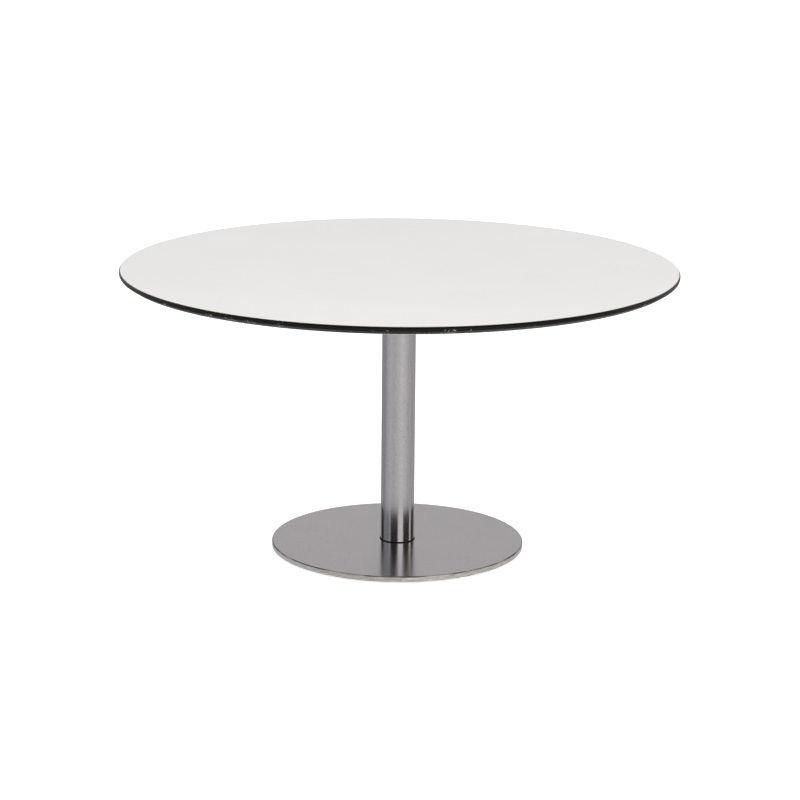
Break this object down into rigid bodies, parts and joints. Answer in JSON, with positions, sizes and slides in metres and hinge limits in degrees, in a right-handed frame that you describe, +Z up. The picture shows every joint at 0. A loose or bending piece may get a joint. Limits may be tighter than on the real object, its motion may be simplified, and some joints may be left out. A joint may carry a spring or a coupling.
{
  "type": "bistro table",
  "caption": "Low round bistro table: thin black-edged white top on a slim steel column and a flat steel disc base, with screw-in levelling feet.",
  "frame": {"origin": "on the floor, under the column's axis", "axes": "+Z up the column; +X over the first levelling foot and the first spider arm"},
  "size_m": [0.9799, 0.98, 0.51],
  "materials": {
    "white_laminate": "matt",
    "backing_sheet": "matt",
    "black_core": "satin",
    "brushed_steel": "brushed",
    "black_rubber": "matt",
    "black_steel": "satin",
    "plain_steel": "turned",
    "fastener_steel": "zinc plated",
    "brass": "machined",
    "pad_plastic": "matt"
  },
  "bodies": {
    "table": {"base_disc": "brushed_steel", "base_gasket": "black_rubber", "column_tube": "brushed_steel", "lower_plug": "plain_steel", "plug_screws": "fastener_steel", "tie_rod": "fastener_steel", "tie_rod_washer": "fastener_steel", "tie_rod_nut": "fastener_steel", "spider_hub": "black_steel", "spider_plate": "black_steel", "spider_arm_1": "black_steel", "spider_arm_2": "black_steel", "spider_arm_3": "black_steel", "spider_arm_4": "black_steel", "spider_screws": "fastener_steel", "threaded_inserts": "brass", "compact_core": "black_core", "face_laminate": "white_laminate", "backing_laminate": "backing_sheet"},
    "foot_1": {"foot_pad_1": "pad_plastic"},
    "stud_1": {"foot_stud_1": "fastener_steel"},
    "foot_2": {"foot_pad_2": "pad_plastic"},
    "stud_2": {"foot_stud_2": "fastener_steel"},
    "foot_3": {"foot_pad_3": "pad_plastic"},
    "stud_3": {"foot_stud_3": "fastener_steel"},
    "foot_4": {"foot_pad_4": "pad_plastic"},
    "stud_4": {"foot_stud_4": "fastener_steel"}
  },
  "joints": [
    {"name": "foot_1_slide", "type": "slide", "parent": "table", "child": "foot_1", "axis": [0, 0, -1], "range_m": [0, 0.004]},
    {"name": "stud_1_turn", "type": "hinge", "parent": "foot_1", "child": "stud_1", "pos_m": [0.195, 0, 0.005], "axis": [0, 0, -1], "range_deg": [0, 1152]},
    {"name": "foot_2_slide", "type": "slide", "parent": "table", "child": "foot_2", "axis": [0, 0, -1], "range_m": [0, 0.004]},
    {"name": "stud_2_turn", "type": "hinge", "parent": "foot_2", "child": "stud_2", "pos_m": [0, 0.195, 0.005], "axis": [0, 0, -1], "range_deg": [0, 1152]},
    {"name": "foot_3_slide", "type": "slide", "parent": "table", "child": "foot_3", "axis": [0, 0, -1], "range_m": [0, 0.004]},
    {"name": "stud_3_turn", "type": "hinge", "parent": "foot_3", "child": "stud_3", "pos_m": [-0.195, 0, 0.005], "axis": [0, 0, -1], "range_deg": [0, 1152]},
    {"name": "foot_4_slide", "type": "slide", "parent": "table", "child": "foot_4", "axis": [0, 0, -1], "range_m": [0, 0.004]},
    {"name": "stud_4_turn", "type": "hinge", "parent": "foot_4", "child": "stud_4", "pos_m": [0, -0.195, 0.005], "axis": [0, 0, -1], "range_deg": [0, 1152]}
  ],
  "couplings": [
    {"joint": "stud_1_turn", "follows": "foot_1_slide", "rad_per_m": 5026.5},
    {"joint": "stud_2_turn", "follows": "foot_2_slide", "rad_per_m": 5026.5},
    {"joint": "stud_3_turn", "follows": "foot_3_slide", "rad_per_m": 5026.5},
    {"joint": "stud_4_turn", "follows": "foot_4_slide", "rad_per_m": 5026.5}
  ]
}
